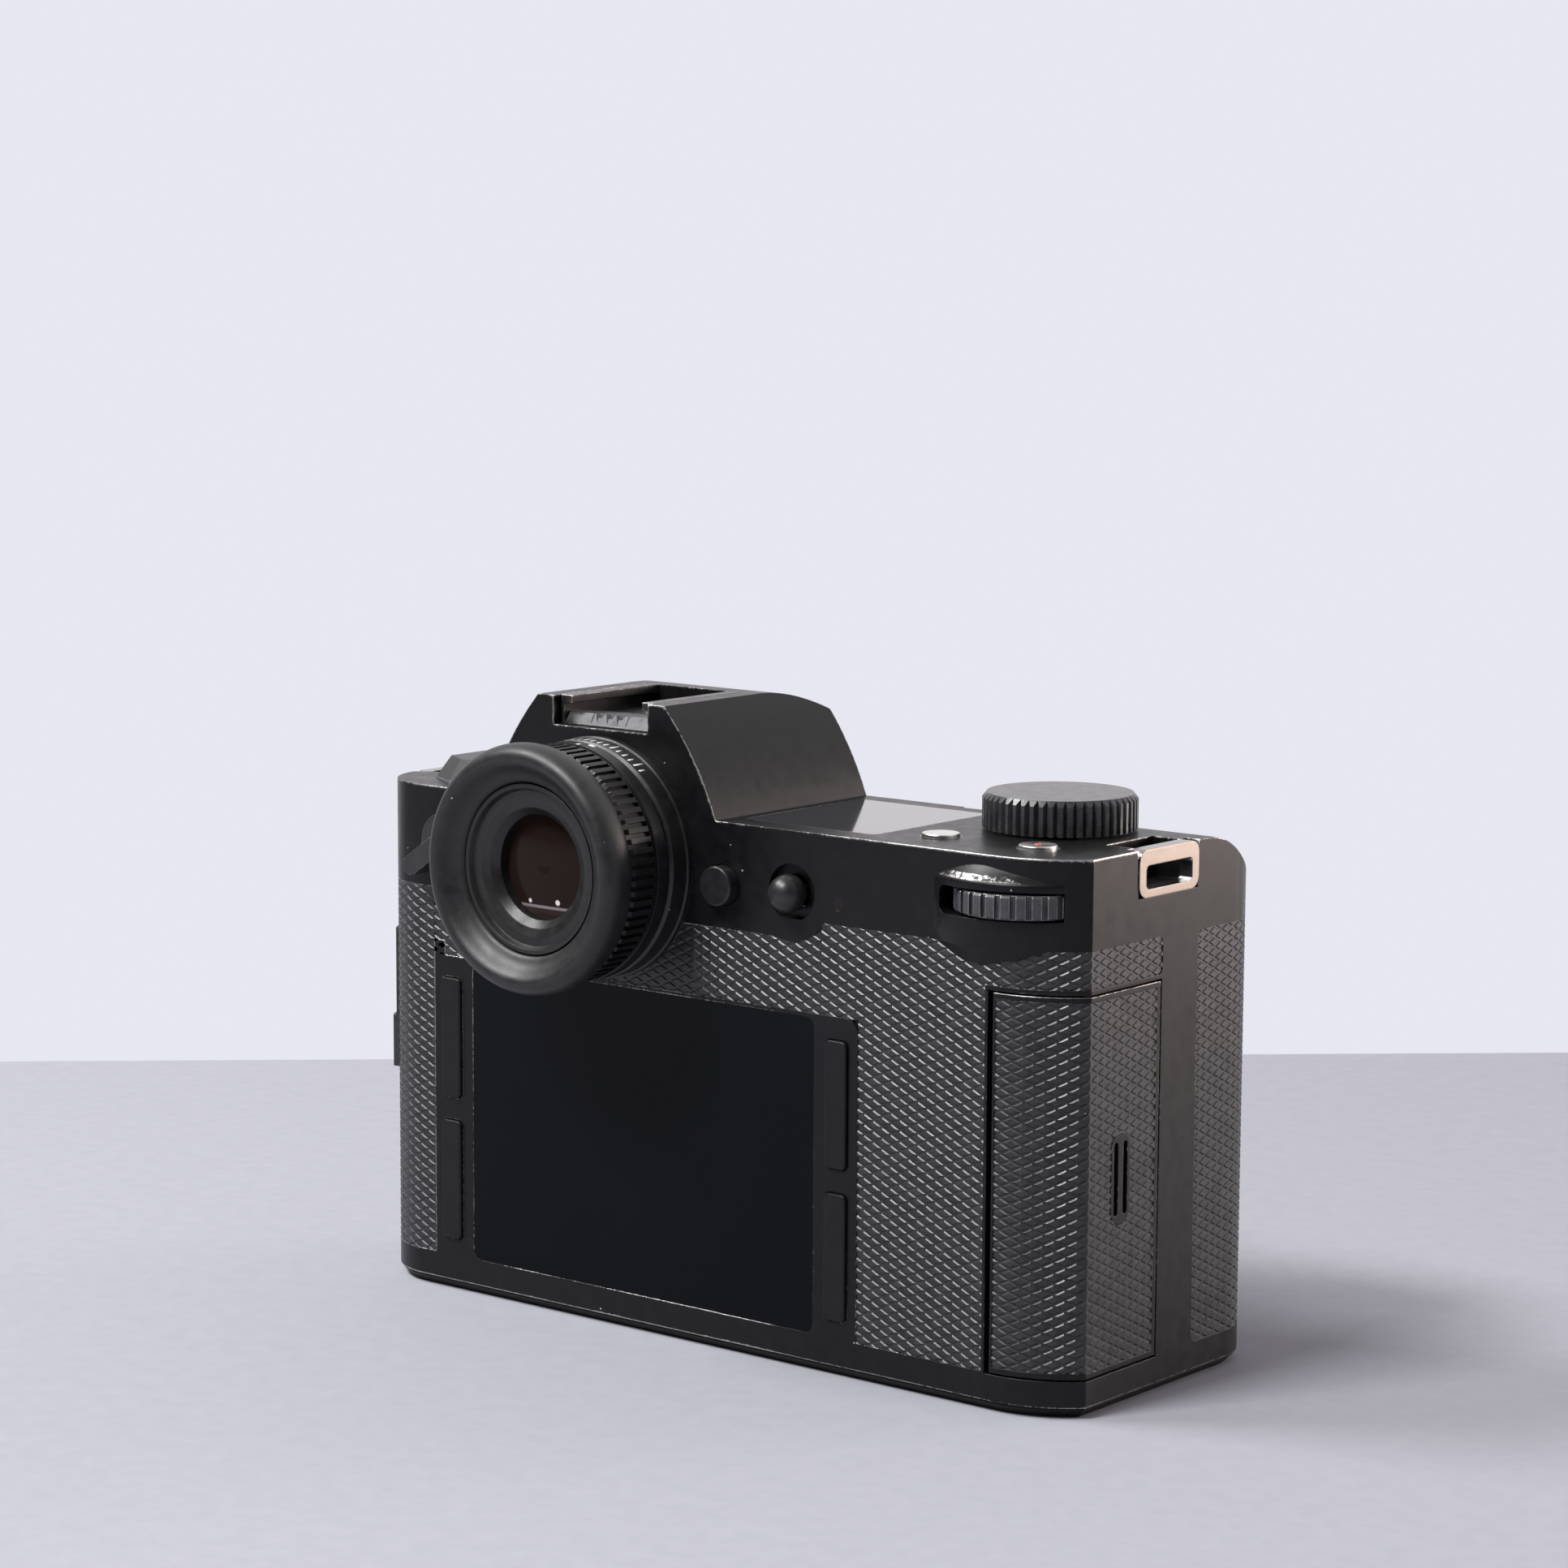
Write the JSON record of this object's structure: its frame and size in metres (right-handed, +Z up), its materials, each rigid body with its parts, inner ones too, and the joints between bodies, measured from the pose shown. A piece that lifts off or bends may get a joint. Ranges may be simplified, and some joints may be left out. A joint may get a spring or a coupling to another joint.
{
  "type": "mirrorless camera body",
  "caption": "Full-frame mirrorless camera body with a raised viewfinder, round eyepiece, deep grip and an open bayonet mount.",
  "frame": {"origin": "mouth of the tripod socket in the base, straight below the optical axis", "axes": "+X the viewer's right, +Y out of the lens mount, +Z up"},
  "size_m": [0.148, 0.0758, 0.104],
  "materials": {
    "black_metal": "satin black, worn bright on its edges",
    "dark_metal": "dark grey satin",
    "satin_silver": "satin",
    "champagne_metal": "satin",
    "steel": "fine turned",
    "chrome": "polished",
    "gold_contacts": "polished",
    "leatherette": "diamond grain",
    "black_rubber": "matte",
    "black_plastic": "matte",
    "screen_glass": "gloss, dark",
    "lens_glass": "coated",
    "sensor_glass": "coated",
    "lamp_glass": "clear",
    "board": "circuit board"
  },
  "bodies": {
    "camera_body": {"body_shell": "black_metal", "grip_shell": "black_metal", "end_shell": "black_metal", "top_plate": "black_metal", "base_plate": "black_metal", "tripod_socket": "steel", "antenna_cover": "black_plastic", "strap_lugs": "champagne_metal", "leather_back": "leatherette", "leather_front": "leatherette", "lens_mount_ring": "steel", "mount_screws": "chrome", "throat_baffle": "black_plastic", "lens_contacts": "gold_contacts", "af_lamp": "lamp_glass", "shutter_frame": "black_plastic", "sensor_frame": "satin_silver", "image_sensor": "sensor_glass", "main_board": "board", "battery_bay": "black_plastic", "card_reader": "black_plastic", "port_block": "black_plastic", "eyepiece_collar": "black_metal", "eyecup": "black_rubber", "eyepiece_barrel": "black_plastic", "eyepiece_lens": "lens_glass", "finder_display": "screen_glass", "screen_glass": "screen_glass", "screen_panel": "black_plastic", "status_lamp": "lamp_glass", "hot_shoe": "dark_metal", "top_window": "screen_glass"},
    "lens_release_button": {"lens_release_button": "dark_metal"},
    "lens_lock_pin": {"lens_lock_pin": "steel"},
    "front_button": {"front_button": "dark_metal"},
    "first_curtain_leaf_1": {"first_curtain_leaf_1": "dark_metal"},
    "first_curtain_leaf_2": {"first_curtain_leaf_2": "dark_metal"},
    "second_curtain_leaf_1": {"second_curtain_leaf_1": "dark_metal"},
    "second_curtain_leaf_2": {"second_curtain_leaf_2": "dark_metal"},
    "battery": {"battery": "black_plastic"},
    "battery_lever": {"battery_lever": "dark_metal"},
    "port_cover": {"port_cover": "black_rubber"},
    "dioptre_ring": {"dioptre_ring": "dark_metal"},
    "key_left_upper": {"key_left_upper": "black_plastic"},
    "key_left_lower": {"key_left_lower": "black_plastic"},
    "key_right_upper": {"key_right_upper": "black_plastic"},
    "key_right_lower": {"key_right_lower": "black_plastic"},
    "view_button": {"view_button": "dark_metal"},
    "joystick_gimbal": {"joystick_gimbal": "steel"},
    "joystick_stem": {"joystick_stem": "steel"},
    "joystick_cap": {"joystick_cap": "black_rubber"},
    "power_switch": {"power_switch": "black_metal"},
    "thumb_wheel": {"thumb_wheel": "dark_metal"},
    "door_hinge_link": {"door_hinge_link": "steel"},
    "top_button_left": {"top_button_left": "satin_silver"},
    "top_button_right": {"top_button_right": "satin_silver"},
    "top_dial": {"top_dial": "dark_metal"},
    "shutter_button": {"shutter_button": "satin_silver"},
    "card_door": {"card_door": "black_metal", "door_leather": "leatherette"}
  },
  "joints": [
    {"name": "lens_release_press", "type": "slide", "parent": "camera_body", "child": "lens_release_button", "axis": [0, -1, 0], "range_m": [0, 0.0013], "stiffness_N_per_m": 600, "springref_m": -0.001},
    {"name": "lock_pin_slide", "type": "slide", "parent": "camera_body", "child": "lens_lock_pin", "axis": [0, -1, 0], "range_m": [0, 0.0013], "stiffness_N_per_m": 200, "springref_m": -0.001},
    {"name": "front_button_press", "type": "slide", "parent": "camera_body", "child": "front_button", "axis": [0, -1, 0], "range_m": [0, 0.0008], "stiffness_N_per_m": 400, "springref_m": -0.001},
    {"name": "first_curtain_slide_1", "type": "slide", "parent": "camera_body", "child": "first_curtain_leaf_1", "axis": [0, 0, 1], "range_m": [0, 0.0266]},
    {"name": "first_curtain_slide_2", "type": "slide", "parent": "camera_body", "child": "first_curtain_leaf_2", "axis": [0, 0, 1], "range_m": [0, 0.0133]},
    {"name": "second_curtain_slide_1", "type": "slide", "parent": "camera_body", "child": "second_curtain_leaf_1", "axis": [0, 0, -1], "range_m": [0, 0.0266], "stiffness_N_per_m": 1, "springref_m": -0.03},
    {"name": "second_curtain_slide_2", "type": "slide", "parent": "camera_body", "child": "second_curtain_leaf_2", "axis": [0, 0, -1], "range_m": [0, 0.0133], "stiffness_N_per_m": 1, "springref_m": -0.03},
    {"name": "battery_slide", "type": "slide", "parent": "camera_body", "child": "battery", "axis": [0, 0, -1], "range_m": [0, 0.065]},
    {"name": "battery_lever_turn", "type": "hinge", "parent": "camera_body", "child": "battery_lever", "pos_m": [0.046, 0.002, 0.001], "axis": [0, 0, 1], "range_deg": [0, 50], "stiffness_Nm_per_rad": 0.01, "springref_deg": -17.19},
    {"name": "port_cover_hinge", "type": "hinge", "parent": "camera_body", "child": "port_cover", "pos_m": [-0.0536, 0.0075, 0.048], "axis": [0, 0, -1], "range_deg": [0, 100]},
    {"name": "dioptre_turn", "type": "hinge", "parent": "camera_body", "child": "dioptre_ring", "pos_m": [0, -0.029, 0.0782], "axis": [0, 1, 0], "range_deg": [-80, 40]},
    {"name": "key_left_upper_press", "type": "slide", "parent": "camera_body", "child": "key_left_upper", "axis": [0, 1, 0], "range_m": [0, 0.0005], "stiffness_N_per_m": 400, "springref_m": -0.001},
    {"name": "key_left_lower_press", "type": "slide", "parent": "camera_body", "child": "key_left_lower", "axis": [0, 1, 0], "range_m": [0, 0.0005], "stiffness_N_per_m": 400, "springref_m": -0.001},
    {"name": "key_right_upper_press", "type": "slide", "parent": "camera_body", "child": "key_right_upper", "axis": [0, 1, 0], "range_m": [0, 0.0005], "stiffness_N_per_m": 400, "springref_m": -0.001},
    {"name": "key_right_lower_press", "type": "slide", "parent": "camera_body", "child": "key_right_lower", "axis": [0, 1, 0], "range_m": [0, 0.0005], "stiffness_N_per_m": 400, "springref_m": -0.001},
    {"name": "view_button_press", "type": "slide", "parent": "camera_body", "child": "view_button", "axis": [0, 1, 0], "range_m": [0, 0.0006], "stiffness_N_per_m": 400, "springref_m": -0.001},
    {"name": "joystick_tilt_up_down", "type": "hinge", "parent": "camera_body", "child": "joystick_gimbal", "pos_m": [0.0402, -0.014, 0.0766], "axis": [1, 0, 0], "range_deg": [-8, 8], "stiffness_Nm_per_rad": 0.02},
    {"name": "joystick_tilt_side", "type": "hinge", "parent": "joystick_gimbal", "child": "joystick_stem", "pos_m": [0.0402, -0.014, 0.0766], "axis": [0, 0, 1], "range_deg": [-8, 8], "stiffness_Nm_per_rad": 0.02},
    {"name": "joystick_press", "type": "slide", "parent": "joystick_stem", "child": "joystick_cap", "axis": [0, 1, 0], "range_m": [0, 0.0003], "stiffness_N_per_m": 400, "springref_m": -0.001},
    {"name": "power_switch_turn", "type": "hinge", "parent": "camera_body", "child": "power_switch", "pos_m": [-0.0329, -0.0205, 0.0776], "axis": [0, -1, 0], "range_deg": [0, 40]},
    {"name": "thumb_wheel_turn", "type": "hinge", "parent": "camera_body", "child": "thumb_wheel", "pos_m": [0.0799, -0.0117, 0.079], "axis": [0, 0, 1], "continuous": true},
    {"name": "door_slide", "type": "slide", "parent": "camera_body", "child": "door_hinge_link", "axis": [0, -1, 0], "range_m": [0, 0.002]},
    {"name": "door_hinge", "type": "hinge", "parent": "door_hinge_link", "child": "card_door", "pos_m": [0.0805, -0.018, 0.036], "axis": [0, 0, -1], "range_deg": [0, 100]},
    {"name": "top_button_left_press", "type": "slide", "parent": "camera_body", "child": "top_button_left", "axis": [0, 0, -1], "range_m": [0, 0.0005], "stiffness_N_per_m": 400, "springref_m": -0.001},
    {"name": "top_button_right_press", "type": "slide", "parent": "camera_body", "child": "top_button_right", "axis": [0, 0, -1], "range_m": [0, 0.0005], "stiffness_N_per_m": 400, "springref_m": -0.001},
    {"name": "top_dial_turn", "type": "hinge", "parent": "camera_body", "child": "top_dial", "pos_m": [0.0711, 0.0095, 0.0897], "axis": [0, 0, 1], "continuous": true},
    {"name": "shutter_button_press", "type": "slide", "parent": "camera_body", "child": "shutter_button", "axis": [0, -0.6157, -0.788], "range_m": [0, 0.001], "stiffness_N_per_m": 300, "springref_m": -0.001}
  ],
  "couplings": [
    {"joint": "lock_pin_slide", "follows": "lens_release_press", "ratio": 1},
    {"joint": "first_curtain_slide_2", "follows": "first_curtain_slide_1", "ratio": 0.5},
    {"joint": "second_curtain_slide_2", "follows": "second_curtain_slide_1", "ratio": 0.5}
  ]
}
